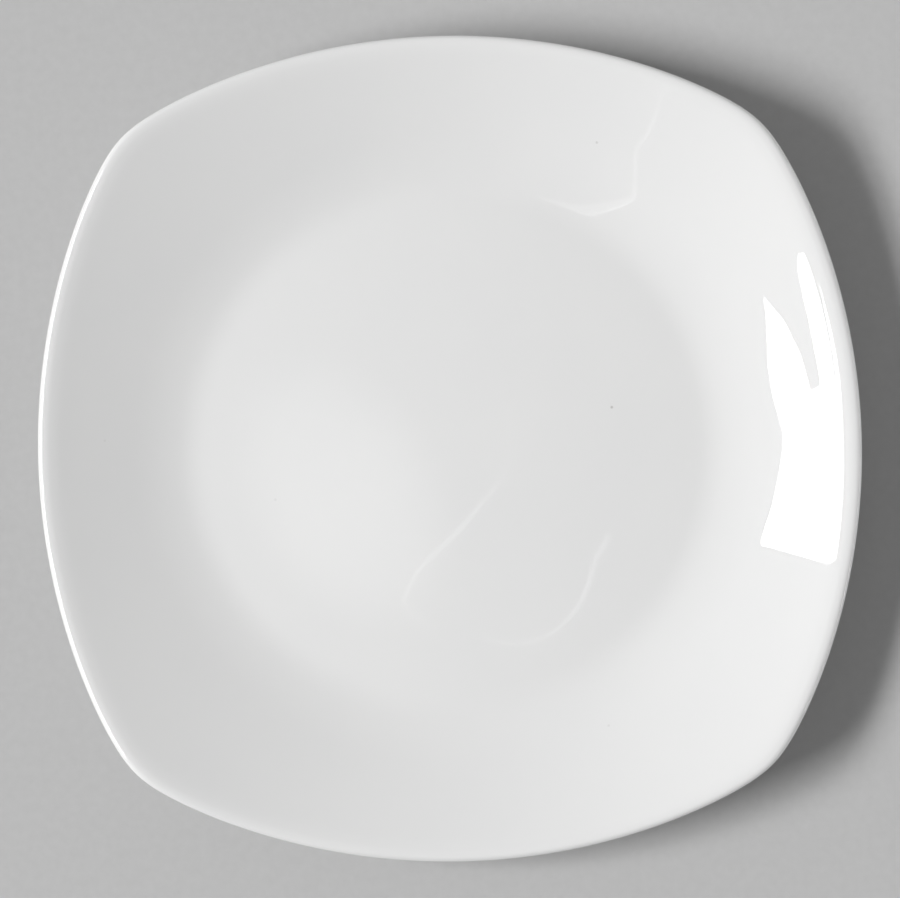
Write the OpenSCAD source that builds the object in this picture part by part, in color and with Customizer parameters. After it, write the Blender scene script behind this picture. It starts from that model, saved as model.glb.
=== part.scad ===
// A soft-square dinner plate of glazed porcelain, standing on its foot ring.
// Seen from above, four bowed sides meet in soft corners round a circular well. Every upright
// section through the middle is the same chain of arcs: a faint dome over the well, a bend that
// eases into the rim, the rim's long hollow, and the lip. The lip slides outwards along that
// hollow until it reaches the outline, so it climbs higher at the corners than at the sides.

/* [Plan] */
// Width across the middles of two opposite sides, over the glaze
plate_w = 260; // [230:1:320]
// Radius of the bow of each side, seen from above
side_bow_r = 200; // [165:1:400]
// How far a soft corner stands inside the point where two bows would cross
corner_setback = 2.5; // [0.5:0.1:10]

/* [Well] */
// Diameter of the well at its crease
well_d = 157; // [130:1:180]
// How far the middle of the well rises above its crease
well_crown = 0.8; // [0.2:0.1:1.4]
// Radius of the bend at the edge of the well
well_bend_r = 42; // [25:1:60]
// Slope where that bend ends, in degrees
well_bend_slope = 11; // [8:0.5:14]
// Thickness of the base at its middle
base_t = 4.4; // [3.6:0.1:6]

/* [Rim] */
// Radius of the easing between the bend and the rim
rim_ease_r = 105; // [60:5:150]
// Slope of the rim where the easing ends, in degrees
rim_slope = 18.3; // [15:0.1:22]
// Radius of the rim's long hollow
rim_hollow_r = 355; // [250:5:1500]
// Thickness of the rim
rim_t = 3.6; // [3.2:0.1:5]

/* [Lip] */
// Radius of the easing that leads from the rim into the lip's roll
lip_ease_r = 38; // [15:1:60]
// Turn of that easing, in degrees
lip_ease_turn = 5.6; // [2:0.1:10]
// Radius of the roll along the top of the lip
lip_roll_r = 7; // [5:0.5:14]
// Radius of the lip's nose
lip_nose_r = 1.5; // [0.8:0.1:1.5]

/* [Foot ring] */
// Height of the recess inside the foot ring, at its middle
foot_h = 3.8; // [3.3:0.1:6]
// How far the middle of the standing face lies inside the well's crease
foot_inset = 2.5; // [1:0.5:12]
// Width of the flat standing face
foot_face_w = 2.6; // [1.5:0.1:5]
// Lean of the foot ring's walls from upright, in degrees
foot_lean = 14; // [5:1:25]
// Radius of the two edges of the standing face
foot_edge_r = 0.9; // [0.3:0.1:1.2]
// Radius of the fillets at the root of the foot ring
foot_fillet_r = 2.2; // [1:0.1:2.7]

/* [Glaze] */
// Thickness of the glaze
glaze_t = 0.3; // [0.1:0.05:0.6]

/* [Hidden] */

// Sections from the middle of a side to the next corner, and all the way round
sector_steps = 9;
turns = 8 * sector_steps;
// How much closer the sections stand at a corner than they would if evenly spaced
crowding_share = 0.35;
// Steps along the arcs of a section
dome_steps = 2;
bend_steps = 2;
roll_steps = 3;
nose_steps = 3;
edge_steps = 2;

// A section is written as a path that runs clockwise, from the middle of the upper face out
// round the lip and back under to the middle of the recess. Its heading is 0 outwards and 90
// upwards. This is the unit normal on the open side of the path at a heading.
function normal(heading) = [-sin(heading), cos(heading)];

// Angle between sides a and b of a triangle whose third side is c
function angle_between(a, b, c) = acos((a * a + b * b - c * c) / (2 * a * b));

// An arc of a section: its centre, its radius (positive where the body bulges, negative where
// it is hollow), its first and last heading, and its number of steps
function arc(centre, radius, first, last, steps) = [centre, radius, first, last, steps];

// Point i of an arc, lifted off the body by a coat of the given thickness
function arc_point(a, i, coat) = a[0] + (a[1] + coat) * normal(a[2] + (a[3] - a[2]) * i / a[4]);

// Points of a run of arcs, each of which starts where the last one ends
function run_points(arcs, coat) = [
    arc_point(arcs[0], 0, coat),
    for (a = arcs, i = [1 : a[4]]) arc_point(a, i, coat)
];

function reversed(list) = [for (i = [len(list) - 1 : -1 : 0]) list[i]];

// Plan

half_w = plate_w / 2;

// Distance from the middle of the plate to the bow of a side, at an angle from that side
function bow(angle) =
    let (back = side_bow_r - half_w, lift = back * sin(angle))
    sqrt(side_bow_r * side_bow_r - lift * lift) - back * cos(angle);

// The two bows nearest to an azimuth, melted together where they cross
function melted_bows(azimuth) =
    let (angle = abs((azimuth + 45) % 90 - 45), near = bow(angle), far = bow(90 - angle))
    (near + far - norm([near - far, 2 * corner_setback])) / 2;

function outline_r(azimuth) = half_w * melted_bows(azimuth) / melted_bows(0);

// Azimuth of section j
function azimuth(j) =
    let (share = (j / sector_steps) % 2, swing = crowding_share * sin(180 * share) / PI)
    45 * (j / sector_steps + swing);

// Upper face, in section

well_r = well_d / 2;
middle_z = foot_h + base_t;
dome_r = (well_r * well_r + well_crown * well_crown) / (2 * well_crown);
dome_c = [0, middle_z - dome_r];
crease_slope = asin(well_r / dome_r);
bend_c = dome_c + (dome_r + well_bend_r) * normal(-crease_slope);
ease_c = bend_c + (rim_ease_r - well_bend_r) * normal(well_bend_slope);
hollow_c = ease_c + (rim_hollow_r - rim_ease_r) * normal(rim_slope);

// Lip: easing, roll and nose each touch the next, and the nose touches the underside. A reach
// is the distance of an arc's centre from the hollow's centre, and a swing the angle there
// between two such centres.

under_rim_r = rim_hollow_r + rim_t;
ease_reach = rim_hollow_r + lip_ease_r;
nose_reach = under_rim_r - lip_nose_r;
roll_to_ease = lip_ease_r - lip_roll_r;
nose_to_roll = lip_roll_r - lip_nose_r;
roll_reach = norm(
    [ease_reach - roll_to_ease * cos(lip_ease_turn), roll_to_ease * sin(lip_ease_turn)]
);
roll_swing = angle_between(ease_reach, roll_reach, roll_to_ease);
nose_swing = roll_swing + angle_between(roll_reach, nose_reach, nose_to_roll);
lip_turn = angle_between(roll_reach, nose_to_roll, nose_reach) - roll_swing;

// Slope of the rim where the lip starts, for the nose to end on the outline
function lip_slope(azimuth) =
    asin((outline_r(azimuth) - glaze_t - lip_nose_r - hollow_c[0]) / nose_reach) - nose_swing;

// Underside: its bend comes down to the level of the recess's edge

under_start = hollow_c - under_rim_r * normal(rim_slope);
under_bend_r = (under_start[1] - foot_h + well_crown) / (1 - cos(rim_slope));
under_c = under_start + under_bend_r * normal(rim_slope);
ceiling_r = dome_r - base_t;

// Foot ring: side is 1 for its outer wall and -1 for its inner wall

foot_mid_r = well_r - foot_inset;
function edge_c(side) = [foot_mid_r + side * foot_face_w / 2, foot_edge_r];

// Centre of the fillet between a wall and the arc about a centre c, at a distance d from it
function fillet_c(side, c, d) =
    let (
        up = [side * sin(foot_lean), cos(foot_lean)],
        out = [side * cos(foot_lean), -sin(foot_lean)],
        start = edge_c(side) + (foot_edge_r + foot_fillet_r) * out,
        b = (start - c) * up
    )
    start - (b + side * sqrt(b * b - (start - c) * (start - c) + d * d)) * up;

outer_fillet_c = fillet_c(1, under_c, under_bend_r + foot_fillet_r);
inner_fillet_c = fillet_c(-1, dome_c, ceiling_r - foot_fillet_r);
under_slope = asin((outer_fillet_c[0] - under_c[0]) / (under_bend_r + foot_fillet_r));
recess_slope = asin(inner_fillet_c[0] / (ceiling_r - foot_fillet_r));
wall_down = -90 - foot_lean;
wall_up = foot_lean - 270;

// The glazed face, from the middle of the well to the outer wall of the foot ring
function face_arcs(slope) =
    let (
        lip_ease_c = hollow_c - ease_reach * normal(slope),
        roll_c = lip_ease_c + roll_to_ease * normal(slope - lip_ease_turn),
        nose_c = roll_c + nose_to_roll * normal(slope - lip_turn),
        nose_end = slope + nose_swing - 180
    )
    [
        arc(dome_c, dome_r, 0, -crease_slope, dome_steps),
        arc(bend_c, -well_bend_r, -crease_slope, well_bend_slope, bend_steps),
        arc(ease_c, -rim_ease_r, well_bend_slope, rim_slope, bend_steps),
        arc(hollow_c, -rim_hollow_r, rim_slope, slope, bend_steps),
        arc(lip_ease_c, lip_ease_r, slope, slope - lip_ease_turn, bend_steps),
        arc(roll_c, lip_roll_r, slope - lip_ease_turn, slope - lip_turn, roll_steps),
        arc(nose_c, lip_nose_r, slope - lip_turn, -90, nose_steps),
        arc(nose_c, lip_nose_r, -90, nose_end, nose_steps),
        arc(hollow_c, under_rim_r, nose_end, rim_slope - 180, bend_steps),
        arc(under_c, under_bend_r, rim_slope - 180, under_slope - 180, roll_steps),
        arc(outer_fillet_c, -foot_fillet_r, under_slope - 180, wall_down, roll_steps)
    ];

// The bare edges of the standing face
outer_edge_arcs = [arc(edge_c(1), foot_edge_r, wall_down, -180, edge_steps)];
inner_edge_arcs = [arc(edge_c(-1), foot_edge_r, -180, wall_up, edge_steps)];

// The recess, from the inner wall of the foot ring to its middle
recess_arcs = [
    arc(inner_fillet_c, -foot_fillet_r, wall_up, -180 - recess_slope, roll_steps),
    arc(dome_c, -ceiling_r, -180 - recess_slope, -180, dome_steps)
];

// Sections of the three solids

function body_section(slope) = [
    each run_points(face_arcs(slope), 0),
    each run_points(outer_edge_arcs, 0),
    each run_points(inner_edge_arcs, 0),
    each run_points(recess_arcs, 0)
];

function coat_section(slope) = [
    each run_points(face_arcs(slope), glaze_t),
    each reversed(run_points(face_arcs(slope), 0))
];

function recess_section() = [
    each reversed(run_points(recess_arcs, 0)),
    each run_points(recess_arcs, glaze_t)
];

// Skins a list of sections, one for each azimuth, that all start and end on the middle axis.
// Each strip is split along the diagonals that leave its narrower ring, the other way round in
// every second sector, so that two solids meet on the same triangles and the plate is symmetric.
module loft(sections) {
    last = len(sections[0]) - 1;
    bottom = 1 + (last - 1) * turns;
    function at(i, j) = i == 0 ? 0 : i == last ? bottom : 1 + (i - 1) * turns + j % turns;
    function leans(i, j) =
        (sections[0][i][0] < sections[0][i + 1][0]) == (floor(j / sector_steps) % 2 == 0);
    points = [
        [0, 0, sections[0][0][1]],
        for (i = [1 : last - 1], j = [0 : turns - 1])
            let (p = sections[j][i])
            [p[0] * cos(azimuth(j)), p[0] * sin(azimuth(j)), p[1]],
        [0, 0, sections[0][last][1]]
    ];
    faces = [
        for (j = [0 : turns - 1]) [at(0, j), at(1, j + 1), at(1, j)],
        for (i = [1 : last - 2], j = [0 : turns - 1])
            each leans(i, j)
                ? [[at(i, j), at(i, j + 1), at(i + 1, j + 1)], [at(i, j), at(i + 1, j + 1), at(i + 1, j)]]
                : [[at(i, j), at(i, j + 1), at(i + 1, j)], [at(i, j + 1), at(i + 1, j + 1), at(i + 1, j)]],
        for (j = [0 : turns - 1]) [at(last - 1, j), at(last - 1, j + 1), at(last, j)]
    ];
    polyhedron(points, faces);
}

lip_slopes = [for (j = [0 : turns - 1]) lip_slope(azimuth(j))];

module porcelain_body() {
    color("#e6e1d6")
        loft([for (slope = lip_slopes) body_section(slope)]);
}

module glaze_coat() {
    color("#f4f4f2")
        loft([for (slope = lip_slopes) coat_section(slope)]);
}

module recess_glaze() {
    color("#f4f4f2")
        loft([for (slope = lip_slopes) recess_section()]);
}

porcelain_body();
glaze_coat();
recess_glaze();
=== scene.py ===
# %% [markdown]
# # A square dinner plate in glazed porcelain
#
# This lesson models the looks of one plate around its packed construction model. The plate is
# made of three pieces: the fired porcelain body, the glaze over its face and back, and the glaze
# inside the foot ring. The construction model holds the real sizes and stays untouched. Each of
# its three solids gives way to a finer mesh of the same shape, made here, because a glossy surface
# shows every facet of a coarse mesh in its reflections.

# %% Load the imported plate
from math import acos, asin, cos, degrees, hypot, pi, radians, sin, sqrt
import bmesh
import bpy
from mathutils import Matrix, Vector


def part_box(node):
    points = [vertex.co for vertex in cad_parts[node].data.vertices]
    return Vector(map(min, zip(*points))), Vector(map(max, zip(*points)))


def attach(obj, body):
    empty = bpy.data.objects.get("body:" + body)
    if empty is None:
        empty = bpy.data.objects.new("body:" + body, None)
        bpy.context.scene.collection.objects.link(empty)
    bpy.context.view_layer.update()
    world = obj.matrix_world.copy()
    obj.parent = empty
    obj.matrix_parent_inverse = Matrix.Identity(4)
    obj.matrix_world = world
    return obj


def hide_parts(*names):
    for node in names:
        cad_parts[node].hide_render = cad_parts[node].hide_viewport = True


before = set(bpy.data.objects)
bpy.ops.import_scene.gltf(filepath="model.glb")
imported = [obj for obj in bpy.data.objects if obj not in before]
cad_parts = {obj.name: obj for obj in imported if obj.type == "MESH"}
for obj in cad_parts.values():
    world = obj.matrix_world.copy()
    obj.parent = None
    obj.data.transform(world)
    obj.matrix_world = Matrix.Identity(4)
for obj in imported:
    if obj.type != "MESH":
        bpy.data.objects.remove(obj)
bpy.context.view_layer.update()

mm = 0.001

# %% [markdown]
# ## The sizes that shape the plate
#
# A potter describes a plate by its plan and its section. The plan of this one is a soft square:
# four bowed sides that melt into each other at the corners. The section is a chain of arcs that
# touch each other smoothly: a faint dome over the well, a bend that eases into the rim, the rim's
# long hollow, and the rolled lip. Arcs are worth the trouble: where one arc touches the next, the
# surface has no kink, and a reflection runs on across the joint.
#
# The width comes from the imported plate. The other sizes are those of its construction. Slopes,
# turns and leans are in degrees.

# %% Sizes of the plan and of the section
_, highest_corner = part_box("glaze_coat")
half_width = highest_corner.x

side_bow_r = 200 * mm
corner_setback = 2.5 * mm

well_r = 78.5 * mm
well_crown = 0.8 * mm
well_bend_r = 42 * mm
well_bend_slope = 11
base_thickness = 4.4 * mm

rim_ease_r = 105 * mm
rim_slope = 18.3
rim_hollow_r = 355 * mm
rim_thickness = 3.6 * mm

lip_ease_r = 38 * mm
lip_ease_turn = 5.6
lip_roll_r = 7 * mm
lip_nose_r = 1.5 * mm

foot_height = 3.8 * mm
foot_inset = 2.5 * mm
foot_face_width = 2.6 * mm
foot_lean = 14
foot_edge_r = 0.9 * mm
foot_fillet_r = 2.2 * mm

glaze_thickness = 0.3 * mm

print("half the width, in mm:", round(half_width / mm, 2))

# %% [markdown]
# ## The outline seen from above
#
# Each side is an arc with a radius of 200 mm. Where two arcs would cross there is a corner, and
# the plate rounds it softly. A square root melts the two distances together: far from the corner
# it leaves the nearer arc alone, and close to the corner it stays a little inside both.

# %% The outline as a distance from the middle
quarter = 90
eighth = quarter / 2


def bow(angle):
    """Distance from the middle to the bow of a side, at an angle from the middle of that side."""
    back = side_bow_r - half_width
    lift = back * sin(radians(angle))
    return sqrt(side_bow_r**2 - lift**2) - back * cos(radians(angle))


def melted_bows(azimuth):
    """The two bows nearest to an azimuth from 0 to 90 degrees, melted together."""
    angle = min(azimuth, quarter - azimuth)
    near = bow(angle)
    far = bow(quarter - angle)
    return (near + far - hypot(near - far, 2 * corner_setback)) / 2


def outline_r(azimuth):
    """Distance from the middle to the outline, scaled so that the sides keep their width."""
    return half_width * melted_bows(azimuth) / melted_bows(0)


print("middle of a side and corner, in mm:",
      [round(outline_r(azimuth) / mm, 2) for azimuth in (0, eighth)])

# %% [markdown]
# ## The arcs of the section
#
# The section is drawn like a pen path, clockwise from the middle of the well out over the lip and
# back underneath to the middle of the recess. The pen has a heading: 0 points outwards and 90
# points up. An arc needs its centre and the headings where it starts and ends.
#
# The lip is the clever part. Its easing, roll and nose are one rigid shape that slides outwards
# along the rim's hollow until the nose reaches the outline. The hollow climbs as it goes out, so
# the lip stands higher at the corners than at the sides, as on the real plate.

# %% Centres and slopes of the arcs
def normal(heading):
    """The direction that points out of the clay at a heading, as a vector of (outwards, up)."""
    return Vector((-sin(radians(heading)), cos(radians(heading))))


def angle_between(a, b, c):
    """Angle between sides a and b of a triangle whose third side is c."""
    return degrees(acos((a * a + b * b - c * c) / (2 * a * b)))


middle_z = foot_height + base_thickness
dome_r = (well_r**2 + well_crown**2) / (2 * well_crown)
dome_centre = Vector((0, middle_z - dome_r))
crease_slope = degrees(asin(well_r / dome_r))
bend_centre = dome_centre + (dome_r + well_bend_r) * normal(-crease_slope)
ease_centre = bend_centre + (rim_ease_r - well_bend_r) * normal(well_bend_slope)
hollow_centre = ease_centre + (rim_hollow_r - rim_ease_r) * normal(rim_slope)

under_rim_r = rim_hollow_r + rim_thickness
ease_reach = rim_hollow_r + lip_ease_r
nose_reach = under_rim_r - lip_nose_r
roll_to_ease = lip_ease_r - lip_roll_r
nose_to_roll = lip_roll_r - lip_nose_r
roll_reach = (ease_reach * normal(0) - roll_to_ease * normal(-lip_ease_turn)).length
roll_swing = angle_between(ease_reach, roll_reach, roll_to_ease)
nose_swing = roll_swing + angle_between(roll_reach, nose_reach, nose_to_roll)
lip_turn = angle_between(roll_reach, nose_to_roll, nose_reach) - roll_swing


def lip_slope(azimuth):
    """Slope of the rim where the lip starts, for the nose to end on the outline."""
    nose_out = outline_r(azimuth) - glaze_thickness - lip_nose_r
    return degrees(asin((nose_out - hollow_centre.x) / nose_reach)) - nose_swing


under_start = hollow_centre - under_rim_r * normal(rim_slope)
recess_edge_z = foot_height - well_crown
under_bend_r = (under_start.y - recess_edge_z) / (1 - cos(radians(rim_slope)))
under_centre = under_start + under_bend_r * normal(rim_slope)
ceiling_r = dome_r - base_thickness
print("slope of the rim where the lip starts, at a side and at a corner:",
      [round(lip_slope(azimuth), 2) for azimuth in (0, eighth)])

# %% [markdown]
# ## The foot ring
#
# The plate stands on a ring with a flat face. Its two walls lean towards each other, small arcs
# round its edges, and larger ones fill the root where it grows out of the plate. Each fillet has
# to touch a leaning wall and the arc above it, so its centre is where two parallels cross.

# %% Centres of the foot ring's arcs
foot_middle_r = well_r - foot_inset


def foot_edge_centre(side):
    """side is 1 for the outer wall of the ring and -1 for the inner wall."""
    return Vector((foot_middle_r + side * foot_face_width / 2, foot_edge_r))


def fillet_centre(side, centre, distance):
    """Centre of the fillet between a wall and an arc, at a distance from the arc's centre."""
    lean = radians(foot_lean)
    along = Vector((side * sin(lean), cos(lean)))
    across = Vector((side * cos(lean), -sin(lean)))
    start = foot_edge_centre(side) + (foot_edge_r + foot_fillet_r) * across
    reach = start - centre
    passed = reach.dot(along)
    half_chord = sqrt(passed * passed - reach.dot(reach) + distance**2)
    return start - (passed + side * half_chord) * along


outer_fillet = fillet_centre(1, under_centre, under_bend_r + foot_fillet_r)
inner_fillet = fillet_centre(-1, dome_centre, ceiling_r - foot_fillet_r)
under_slope = degrees(asin((outer_fillet.x - under_centre.x) / (under_bend_r + foot_fillet_r)))
recess_slope = degrees(asin(inner_fillet.x / (ceiling_r - foot_fillet_r)))
wall_down = -90 - foot_lean
wall_up = foot_lean - 270
print("fillets of the foot ring, out and up in mm:",
      [[round(c / mm, 2) for c in centre] for centre in (outer_fillet, inner_fillet)])

# %% [markdown]
# ## The chain of arcs
#
# Each arc is written as its centre, its first heading, its last heading and its number of steps.
# The steps are close where the surface turns quickly, and about as long on both sides of a joint,
# so that the smooth shading stays even across it.

# %% Arcs from the middle of the well to the foot, and inside the foot ring
def face_arcs(slope):
    lip_ease_centre = hollow_centre - ease_reach * normal(slope)
    roll_centre = lip_ease_centre + roll_to_ease * normal(slope - lip_ease_turn)
    nose_centre = roll_centre + nose_to_roll * normal(slope - lip_turn)
    nose_end = slope + nose_swing - 180
    return [
        (dome_centre, 0, -crease_slope, 20),
        (bend_centre, -crease_slope, well_bend_slope, 14),
        (ease_centre, well_bend_slope, rim_slope, 12),
        (hollow_centre, rim_slope, slope, 16),
        (lip_ease_centre, slope, slope - lip_ease_turn, 6),
        (roll_centre, slope - lip_ease_turn, slope - lip_turn, 8),
        (nose_centre, slope - lip_turn, -90, 8),
        (nose_centre, -90, nose_end, 6),
        (hollow_centre, nose_end, rim_slope - 180, 14),
        (under_centre, rim_slope - 180, under_slope - 180, 8),
        (outer_fillet, under_slope - 180, wall_down, 5),
    ]


outer_edge = (foot_edge_centre(1), wall_down, -180, 4)
inner_edge = (foot_edge_centre(-1), -180, wall_up, 4)
recess_arcs = [
    (inner_fillet, wall_up, -180 - recess_slope, 5),
    (dome_centre, -180 - recess_slope, -180, 12),
]
print("steps along the glazed face:", sum(arc[3] for arc in face_arcs(lip_slope(0))))

# %% [markdown]
# ## A pen for sections
#
# Blender draws an arc when a single vertex is spun: the Spin tool leaves a trail of edges behind
# the vertex and keeps its end selected, ready for the next arc. The pen starts as a tiny plane
# whose corners are merged into one vertex on the middle axis. A straight stretch is an extrude.

# %% Put the pen down, draw an arc, draw a straight line
pen_size = 1 * mm


def put_pen(height):
    bpy.ops.object.select_all(action="DESELECT")
    bpy.ops.mesh.primitive_plane_add(size=pen_size)
    bpy.ops.object.mode_set(mode="EDIT")
    bpy.ops.mesh.merge(type="CENTER")
    bpy.ops.transform.translate(value=(0, 0, height))


def draw_arc(arc):
    centre, first, last, steps = arc
    turn = radians(last - first)
    bpy.ops.mesh.spin(steps=steps, angle=turn, center=(centre.x, 0, centre.y), axis=(0, 1, 0))


def draw_backwards(arcs):
    for centre, first, last, steps in reversed(arcs):
        draw_arc((centre, last, first, steps))


def draw_to(place):
    section = bmesh.from_edit_mesh(bpy.context.object.data)
    pen = next(vertex for vertex in section.verts if vertex.select)
    way = (place.x - pen.co.x, 0, place.y - pen.co.z)
    bpy.ops.mesh.extrude_region_move(TRANSFORM_OT_translate={"value": way})

# %% [markdown]
# ## A section at its station
#
# The lip's slope changes from the middle of a side to the corner, so one spun section can't make
# the plate. It is lofted instead: a section is drawn for each of 49 stations between the middle
# of a side and the corner, and turned to its azimuth. Each is drawn as a small object of its own,
# because an operator takes as long as the mesh that it works in is large.

# %% Draw a section and turn it to its azimuth
def section_at(azimuth, draw_section):
    draw_section(lip_slope(azimuth))
    bpy.ops.mesh.select_all(action="SELECT")
    bpy.ops.transform.rotate(
        value=-radians(azimuth), orient_axis="Z", center_override=(0, 0, 0)
    )
    bpy.ops.object.mode_set(mode="OBJECT")
    return bpy.context.object

# %% [markdown]
# ## From sections to a closed shell
#
# The sections are joined, and Bridge Edge Loops skins them all at once. A Mirror modifier makes
# the other half of the side, and Spin with duplicates sets four of those quarters round the
# middle. Last, the doubles are merged and the normals recalculated. In a closed shell every edge
# lies between two faces, so the edges that don't are counted, and there should be none.

# %% Loft an eighth of the plate and complete it
station_steps = 48
further_quarters = 3
same_place = 0.005 * mm


def open_edges(piece):
    shell = bmesh.new()
    shell.from_mesh(piece.data)
    count = sum(not edge.is_manifold for edge in shell.edges)
    shell.free()
    return count


def loft(name, draw_section):
    azimuths = [eighth * station / station_steps for station in range(station_steps + 1)]
    sections = [section_at(azimuth, draw_section) for azimuth in azimuths]
    for section in sections:
        section.select_set(True)
    bpy.ops.object.join()
    piece = bpy.context.object
    piece.name = name
    piece.data.name = name
    bpy.ops.object.mode_set(mode="EDIT")
    bpy.ops.mesh.select_all(action="SELECT")
    bpy.ops.mesh.bridge_edge_loops()
    bpy.ops.object.mode_set(mode="OBJECT")
    mirror = piece.modifiers.new("other half of the quarter", "MIRROR")
    mirror.use_axis = (False, True, False)
    mirror.merge_threshold = same_place
    bpy.ops.object.modifier_apply(modifier=mirror.name)
    bpy.ops.object.mode_set(mode="EDIT")
    bpy.ops.mesh.select_all(action="SELECT")
    way_round = radians(further_quarters * quarter)
    bpy.ops.mesh.spin(steps=further_quarters, dupli=True, angle=way_round, axis=(0, 0, 1))
    bpy.ops.mesh.select_all(action="SELECT")
    bpy.ops.mesh.remove_doubles(threshold=same_place)
    bpy.ops.mesh.normals_make_consistent(inside=False)
    bpy.ops.object.mode_set(mode="OBJECT")
    bpy.ops.object.shade_smooth()
    size = [round(side / mm, 2) for side in piece.dimensions]
    print(name, size, "mm,", len(piece.data.polygons), "faces,", open_edges(piece), "open edges")
    return piece

# %% [markdown]
# ## The porcelain body
#
# The body is one fired piece of clay: well, rim, lip and foot ring. It comes to the surface only
# on the foot ring, where the glaze was wiped off so that the plate wouldn't stick in the kiln.
# Its section runs all the way round, with two straight walls and the flat standing face between
# the arcs of the foot.

# %% Body
wall_head = outer_fillet - foot_fillet_r * normal(wall_down)
wall_foot = foot_edge_centre(1) + foot_edge_r * normal(wall_down)
standing_edge = foot_edge_centre(-1) + foot_edge_r * normal(-180)
recess_wall_head = inner_fillet - foot_fillet_r * normal(wall_up)


def body_section(slope):
    put_pen(middle_z)
    for arc in face_arcs(slope):
        draw_arc(arc)
    draw_to(wall_foot)
    draw_arc(outer_edge)
    draw_to(standing_edge)
    draw_arc(inner_edge)
    draw_to(recess_wall_head)
    for arc in recess_arcs:
        draw_arc(arc)


body = loft("fired_body", body_section)

# %% [markdown]
# ## The glaze over the face and the back
#
# Glaze is a coat of glass about 0.3 mm thick. Lifting the pen's start by that much and spinning it
# about the same centres draws a line that is parallel to the body. At the foot the coat ends in
# the round bead that melted glaze draws itself into, and the section runs back along the body.

# %% Glaze of the face
bead_turn = 90
bead_steps = 4


def face_glaze_section(slope):
    put_pen(middle_z + glaze_thickness)
    for arc in face_arcs(slope):
        draw_arc(arc)
    draw_arc((wall_head, wall_down, wall_down - bead_turn, bead_steps))
    draw_to(wall_head)
    draw_backwards(face_arcs(slope))


face_glaze = loft("face_glaze", face_glaze_section)

# %% [markdown]
# ## The glaze inside the foot ring
#
# The wiped ring parts this glaze from the rest, so it is a piece of its own, made the same way.
# It runs from the middle of the recess to its bead on the inner wall of the foot and back.

# %% Glaze of the recess
def recess_glaze_section(slope):
    put_pen(foot_height - glaze_thickness)
    draw_backwards(recess_arcs)
    draw_arc((recess_wall_head, wall_up, wall_up + bead_turn, bead_steps))
    draw_to(recess_wall_head)
    for arc in recess_arcs:
        draw_arc(arc)


recess_glaze = loft("foot_recess_glaze", recess_glaze_section)

# %% [markdown]
# ## Materials from nodes
#
# A material here is a Principled shader fed by noise in Object coordinates, so the pattern is
# fixed to the clay at its real scale and needs no picture. Three small helpers keep the recipes
# short: one starts a material, one adds noise at a given size of its blotches, and one turns
# noise into a range of values.

# %% Start a finish, add noise, spread it
def new_finish(name):
    finish = bpy.data.materials.new(name)
    finish.use_nodes = True
    return finish, finish.node_tree.nodes["Principled BSDF"]


def noise(finish, blotch, detail=2.0):
    """Noise from 0 to 1 whose blotches are about as large as given, in metres."""
    tree = finish.node_tree
    place = tree.nodes.new("ShaderNodeTexCoord")
    texture = tree.nodes.new("ShaderNodeTexNoise")
    texture.inputs["Scale"].default_value = 1 / blotch
    texture.inputs["Detail"].default_value = detail
    tree.links.new(place.outputs["Object"], texture.inputs["Vector"])
    return texture.outputs["Fac"]


def spread(finish, value, low, high, start=0.3, end=0.7):
    """Turns a value that runs from start to end into one that runs from low to high."""
    tree = finish.node_tree
    span = tree.nodes.new("ShaderNodeMapRange")
    span.inputs["From Min"].default_value = start
    span.inputs["From Max"].default_value = end
    span.inputs["To Min"].default_value = low
    span.inputs["To Max"].default_value = high
    tree.links.new(value, span.inputs["Value"])
    return span.outputs["Result"]

# %% [markdown]
# ## Colour and relief
#
# Noise can do two more jobs. As a share it blends two colours, and as a height it tilts the
# surface's normal, which is what a bump does. Bumps are laid over one another, fine over coarse.

# %% Blend colours and lay a bump
def blend_colours(finish, share, first, second):
    """Two colours mixed by a share. Each is a tuple or the output of another node."""
    tree = finish.node_tree
    mix = tree.nodes.new("ShaderNodeMix")
    mix.data_type = "RGBA"
    tree.links.new(share, mix.inputs["Factor"])
    for socket, colour in ((mix.inputs["A"], first), (mix.inputs["B"], second)):
        if isinstance(colour, tuple):
            socket.default_value = (*colour, 1)
        else:
            tree.links.new(colour, socket)
    return mix.outputs["Result"]


def bump(finish, height, depth, under=None):
    """A bump of the given depth in metres, laid over the normal of another bump."""
    tree = finish.node_tree
    relief = tree.nodes.new("ShaderNodeBump")
    relief.inputs["Distance"].default_value = depth
    tree.links.new(height, relief.inputs["Height"])
    if under:
        tree.links.new(under, relief.inputs["Normal"])
    return relief.outputs["Normal"]

# %% [markdown]
# ## Specks under the glaze
#
# A few grains of iron in the clay have burnt to dark specks under the glaze. Each speck is a small
# ball round its place, and the colour turns where the ball meets the face. The ball fades from its
# core to its rim, so that the speck has a soft edge, and its depth says how dark it gets.

# %% Specks
speck_brown = (0.17, 0.15, 0.13)
speck_core_r = 0.225 * mm
speck_rim_r = 0.585 * mm
specks = [
    (Vector((51.5, 12, 8.1)) * mm, 0.38),
    (Vector((-56.1, -15, 8.1)) * mm, 0.09),
    (Vector((48.9, 95.4, 14.3)) * mm, 0.22),
    (Vector((48.5, -88.5, 11.8)) * mm, 0.15),
    (Vector((-109.3, 5, 14.9)) * mm, 0.08),
]


def speck(finish, place, depth):
    """Up to the given depth inside a speck, and 0 away from it."""
    tree = finish.node_tree
    here = tree.nodes.new("ShaderNodeTexCoord")
    away = tree.nodes.new("ShaderNodeVectorMath")
    away.operation = "DISTANCE"
    away.inputs[1].default_value = place
    tree.links.new(here.outputs["Object"], away.inputs[0])
    return spread(finish, away.outputs["Value"], depth, 0, speck_core_r, speck_rim_r)


print("specks:", len(specks))

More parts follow.
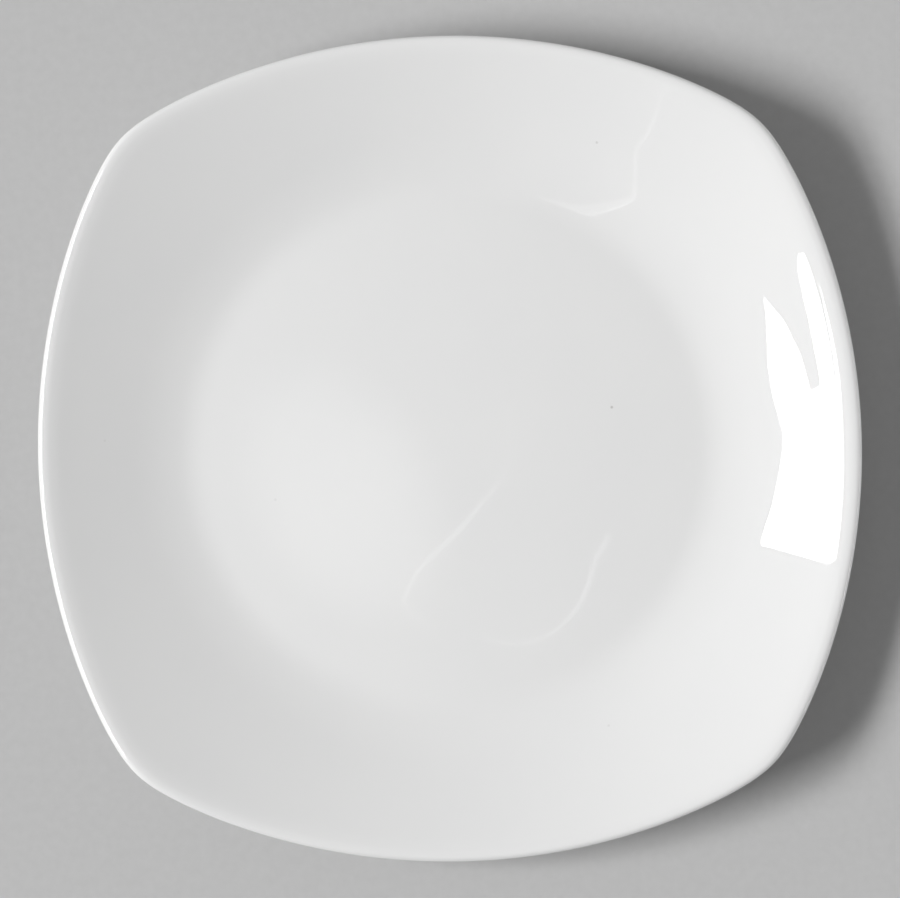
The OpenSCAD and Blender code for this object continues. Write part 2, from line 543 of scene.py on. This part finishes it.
# %% [markdown]
# ## White glaze
#
# The glaze is clear glass over white porcelain, so it is a light, nearly neutral colour under a
# sharp reflection. Up close no glaze is even. Its white is faintly mottled, and its surface rises
# and falls by about a tenth of a millimetre over several centimetres, which makes the edges of
# reflections wander. Shallow dimples and a fine ripple lie over those waves. Each of the three
# reliefs is given as the size of its blotches and its depth.

# %% Glaze finish
glaze_white = (0.8, 0.8, 0.797)
glaze_cool_white = (0.788, 0.789, 0.788)
mottling_blotch = 35 * mm
mottling_detail = 3
sheen_blotch = 12 * mm
smoothest = 0.01
roughest = 0.025
waves = (60 * mm, 0.15 * mm)
dimples = (25 * mm, 0.012 * mm)
ripple = (6 * mm, 0.0006 * mm)
relief_detail = 1


def white_glaze():
    finish, shader = new_finish("white_glaze_finish")
    tree = finish.node_tree
    mottling = spread(finish, noise(finish, mottling_blotch, mottling_detail), 0, 1)
    white = blend_colours(finish, mottling, glaze_white, glaze_cool_white)
    for place, depth in specks:
        white = blend_colours(finish, speck(finish, place, depth), white, speck_brown)
    tree.links.new(white, shader.inputs["Base Color"])
    sheen = spread(finish, noise(finish, sheen_blotch), smoothest, roughest)
    tree.links.new(sheen, shader.inputs["Roughness"])
    relief = None
    for blotch, depth in (waves, dimples, ripple):
        relief = bump(finish, noise(finish, blotch, relief_detail), depth, relief)
    tree.links.new(relief, shader.inputs["Normal"])
    return finish


glaze_finish = white_glaze()
print("glaze:", len(glaze_finish.node_tree.nodes), "nodes")

# %% [markdown]
# ## Bare porcelain
#
# The wiped foot ring is matte and a little warmer than the glaze, in faint patches, with the fine
# grain of fired clay. It has picked up grey rubs from the tables that it stood on. They show only
# where the noise is high, so they are scattered spots and not an even grey.

# %% Bare finish
bare_white = (0.74, 0.72, 0.67)
bare_warm = (0.7, 0.67, 0.6)
bare_roughness = 0.75
patch_blotch = 8 * mm
clay_detail = 3
rubbed_grey = (0.6, 0.59, 0.56)
rub_blotch = 2.5 * mm
rub_detail = 4
rub_share = 0.6
rub_start = 0.55
rub_end = 0.75
grain_blotch = 0.35 * mm
grain_depth = 0.03 * mm


def bare_porcelain():
    finish, shader = new_finish("bare_porcelain_finish")
    tree = finish.node_tree
    shader.inputs["Roughness"].default_value = bare_roughness
    patches = spread(finish, noise(finish, patch_blotch, clay_detail), 0, 1)
    clay = blend_colours(finish, patches, bare_white, bare_warm)
    rubs = spread(finish, noise(finish, rub_blotch, rub_detail), 0, rub_share, rub_start, rub_end)
    tree.links.new(blend_colours(finish, rubs, clay, rubbed_grey), shader.inputs["Base Color"])
    grain = bump(finish, noise(finish, grain_blotch, clay_detail), grain_depth)
    tree.links.new(grain, shader.inputs["Normal"])
    return finish


bare_finish = bare_porcelain()
print("bare porcelain:", len(bare_finish.node_tree.nodes), "nodes")

# %% [markdown]
# ## The pieces take their places
#
# Every piece rides on the plate's one body, takes its finish, and stands for its imported solid,
# which is hidden.

# %% Finish, body and slot of each piece
for piece, finish, slot, node in (
    (body, bare_finish, "bare_porcelain", "porcelain_body"),
    (face_glaze, glaze_finish, "white_glaze", "glaze_coat"),
    (recess_glaze, glaze_finish, "white_glaze", "recess_glaze"),
):
    piece.data.materials.append(finish)
    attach(piece, "root")
    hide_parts(node)
    print(piece.name, "stands for", node)

# %% [markdown]
# ## Floor
#
# The floor is a plain pale grey with a faint fleck, a step darker than the plate, so that the
# white rim stands out.

# %% Floor
floor_size = 12
floor_grey = (0.5, 0.5, 0.5)
floor_fleck = (0.48, 0.48, 0.48)
floor_roughness = 0.8
fleck_blotch = 3 * mm
fleck_detail = 3

bpy.ops.object.select_all(action="DESELECT")
bpy.ops.mesh.primitive_plane_add(size=floor_size)
floor = bpy.context.object
floor.name = "floor"
floor_finish, floor_shader = new_finish("floor_finish")
floor_shader.inputs["Roughness"].default_value = floor_roughness
fleck_share = spread(floor_finish, noise(floor_finish, fleck_blotch, fleck_detail), 0, 1)
floor_colour = blend_colours(floor_finish, fleck_share, floor_grey, floor_fleck)
floor_finish.node_tree.links.new(floor_colour, floor_shader.inputs["Base Color"])
floor.data.materials.append(floor_finish)
print("floor:", floor_size, "m wide")

# %% [markdown]
# ## Light from the window
#
# Most of the light comes from one large, soft window on the left, whose mirror image is the bright
# patch on the right of the rim. A lamp's watts spread over its area, so the lamps here are set by
# how bright their face is, and the watts follow from that. The window stands far off, as real ones
# do, so that the plate is lit evenly from end to end.

# %% Window
window_x = -4
window_y = (-1.95, 1.04)
window_z = (3.2, 5.5)
window_turn = (0, -90, 0)
window_brightness = 27


def lamp_card(name, middle, turn, length, width, brightness):
    """A flat lamp that is hidden from the camera. Its length lies along its own X."""
    data = bpy.data.lights.new(name, "AREA")
    data.shape = "RECTANGLE"
    data.size = length
    data.size_y = width
    data.energy = pi * length * width * brightness
    lamp = bpy.data.objects.new(name, data)
    lamp.location = middle
    lamp.rotation_euler = [radians(angle) for angle in turn]
    lamp.visible_camera = False
    bpy.context.collection.objects.link(lamp)
    print(name, "takes", round(data.energy, 1), "W")


window_middle = (window_x, sum(window_y) / 2, sum(window_z) / 2)
window_height = window_z[1] - window_z[0]
window_width = window_y[1] - window_y[0]
lamp_card("window", window_middle, window_turn, window_height, window_width, window_brightness)

# %% [markdown]
# ## The curtain
#
# A curtain hangs before the upper part of the window. Its uneven lower edge, with one long fold
# that reaches down and across the window, gives the bright patch its outline with two fingers.
# Only the edge ever shows, and only in the glaze, so the curtain is one flat face. Its corners are
# given as places across and up, in metres, and go round the edge and back over the top.

# %% Curtain
curtain_gap = 0.02
curtain_edge = [
    (1.06, 5.52), (0.55, 5.29), (0, 5.11), (-0.2, 5.07), (-0.6, 5.22), (-0.9, 5.27), (-1.66, 5.19),
    (-1.34, 4.92), (-0.93, 4.71), (-0.57, 4.6), (-0.6, 4.43), (-1.5, 4.54), (-1.8, 4.56),
    (-2, 4.49),
]
curtain_top = [(-2, 5.8), (1.06, 5.8)]

curtain_corners = [(window_x + curtain_gap, *corner) for corner in curtain_edge + curtain_top]
curtain_mesh = bpy.data.meshes.new("curtain")
curtain_mesh.from_pydata(curtain_corners, [], [range(len(curtain_corners))])
curtain = bpy.data.objects.new("curtain", curtain_mesh)
curtain.visible_camera = False
bpy.context.collection.objects.link(curtain)
print("curtain has", len(curtain_corners), "corners")

# %% [markdown]
# ## Light on the outside of the lip
#
# On the right the outside of the lip turns away from the window and would go dark. A long, narrow
# card of light stands beside the plate and lifts it, as a photographer's reflector does. It is a
# quarter as bright as the window, and so low that the well gets hardly any of its light.

# %% Fill card
fill_place = (1.2, 0, 0.1)
fill_turn = (0, 90, 0)
fill_height = 0.18
fill_width = 1.2
fill_brightness = 6.5

lamp_card("fill", fill_place, fill_turn, fill_height, fill_width, fill_brightness)

# %% [markdown]
# ## Fine lines in the glaze
#
# A glaze shows everything that hangs over it. Two thin bright straps and the edge of a light box
# hang overhead, beside the camera, and the glaze turns them into fine wavy lines in the well and
# across the upper rim. A strap is a curve with a round bevel, because a curve takes a radius at
# each of its points: the tight bend round the well squeezes the edge of the box to a thread, so it
# is wider there than over the rim. The bevel is 1 m deep, which leaves each point's own radius as
# the strap's radius in metres, and automatic handles bend the strap smoothly through its stops.

# %% Straps overhead
strap_height = 2.4
strap_bevel = 1
strap_glow = 1.1
box_glow = 0.8


def strap(name, glow, stops):
    """A round strap through stops that each give its place across, its place up and its radius."""
    data = bpy.data.curves.new(name, "CURVE")
    data.dimensions = "3D"
    data.bevel_depth = strap_bevel
    line = data.splines.new("BEZIER")
    line.bezier_points.add(len(stops) - 1)
    for point, (x, y, radius) in zip(line.bezier_points, stops):
        point.co = (x, y, strap_height)
        point.handle_left_type = "AUTO"
        point.handle_right_type = "AUTO"
        point.radius = radius
    finish, shader = new_finish(name + "_finish")
    shader.inputs["Emission Color"].default_value = (1, 1, 1, 1)
    shader.inputs["Emission Strength"].default_value = glow
    data.materials.append(finish)
    piece = bpy.data.objects.new(name, data)
    piece.visible_camera = False
    bpy.context.collection.objects.link(piece)
    print(name, "has", len(stops), "stops")


strap("left_strap", strap_glow, [
    (-0.118, 0.025, 0.0005), (-0.115, -0.045, 0.0007), (-0.15, -0.1, 0.003),
    (-0.178, -0.13, 0.004), (-0.204, -0.157, 0.0025), (-0.238, -0.207, 0.0012),
    (-0.245, -0.23, 0.0012), (-0.215, -0.257, 0.0012),
])
strap("right_strap", strap_glow, [
    (0.003, -0.143, 0.003), (-0.013, -0.175, 0.0035), (-0.027, -0.22, 0.003),
    (-0.06, -0.25, 0.0018), (-0.11, -0.27, 0.002), (-0.157, -0.263, 0.0012),
])
strap("box_edge", box_glow, [
    (-0.31, -0.36, 0.015), (-0.35, -0.4, 0.025), (-0.45, -0.51, 0.028), (-0.57, -0.66, 0.025),
    (-0.73, -0.82, 0.022), (-0.91, -0.99, 0.018), (-1.09, -1.18, 0.012), (-1.15, -1.34, 0.009),
    (-1.17, -1.45, 0.009), (-1.27, -1.58, 0.01), (-1.385, -1.82, 0.008),
])

# %% [markdown]
# ## The pale cloud in the well
#
# The left half of the well is a little paler than the right half. A spot lamp with a soft edge lays
# this cloud on it from in front, so that the cloud is longer than it is wide. The lamp is hidden
# from glossy rays, because the cloud lies on the white and the glaze shows no lamp there.

# %% Cloud
cloud_place = Vector((-35, -13, 8)) * mm
cloud_lamp_place = Vector((0.5, -1.15, 1.15))
cloud_width_deg = 2.4
cloud_watts = 10.5

cloud_data = bpy.data.lights.new("cloud", "SPOT")
cloud_data.energy = cloud_watts
cloud_data.spot_size = radians(cloud_width_deg)
cloud_data.spot_blend = 1
cloud = bpy.data.objects.new("cloud", cloud_data)
cloud.location = cloud_lamp_place
cloud.rotation_euler = (cloud_place - cloud_lamp_place).to_track_quat("-Z", "Y").to_euler()
cloud.visible_glossy = False
bpy.context.collection.objects.link(cloud)
print("cloud lamp stands", round((cloud_place - cloud_lamp_place).length, 2), "m away")

# %% [markdown]
# ## Light of the room
#
# The rest of the room is grey, a little brighter towards the top of the picture and, less so,
# towards its left. The world takes its strength from the direction that is looked in: a dot
# product gives how far that points to the brighter side.

# %% Room
room_brightness = 0.264
room_rise = (-0.04, 0.1, 0)

world = bpy.data.worlds.new("room")
world.use_nodes = True
bpy.context.scene.world = world
room = world.node_tree
looking_at = room.nodes.new("ShaderNodeTexCoord")
rise = room.nodes.new("ShaderNodeVectorMath")
rise.operation = "DOT_PRODUCT"
rise.inputs[1].default_value = room_rise
room.links.new(looking_at.outputs["Generated"], rise.inputs[0])
brightness = room.nodes.new("ShaderNodeMath")
brightness.inputs[1].default_value = room_brightness
room.links.new(rise.outputs["Value"], brightness.inputs[0])
background = room.nodes["Background"]
background.inputs["Color"].default_value = (1, 1, 1, 1)
room.links.new(brightness.outputs["Value"], background.inputs["Strength"])
print("the room's brightness is", room_brightness)

# %% [markdown]
# ## Camera
#
# The photograph looks almost straight down from well above the plate. The camera's distance sets
# how strongly near parts look larger; its lens then sets how many pixels a millimetre takes. Tilt
# and yaw are how far the camera stands off the plate's axis, and roll is its turn about that axis,
# all in degrees.

# %% Camera
photo_width_px = 900
px_per_mm = 3.1692
camera_distance = 1.6
aim = Vector((0.45, 0, 15)) * mm
camera_tilt = 0.90
camera_yaw = -4.42
camera_roll = 1.23

camera_data = bpy.data.cameras.new("camera")
camera_data.lens = camera_data.sensor_width * px_per_mm / mm * camera_distance / photo_width_px
camera = bpy.data.objects.new("camera", camera_data)
bpy.context.collection.objects.link(camera)
turn_to_camera = (
    Matrix.Rotation(radians(camera_roll), 3, "Z")
    @ Matrix.Rotation(radians(camera_yaw), 3, "Y")
    @ Matrix.Rotation(radians(camera_tilt), 3, "X")
)
turn_to_world = turn_to_camera.transposed()
camera.matrix_world = (
    Matrix.Translation(aim + turn_to_world @ Vector((0, 0, camera_distance)))
    @ turn_to_world.to_4x4()
)
bpy.context.scene.camera = camera
bpy.context.scene.view_settings.view_transform = "Standard"
print("lens, in mm:", round(camera_data.lens, 1))
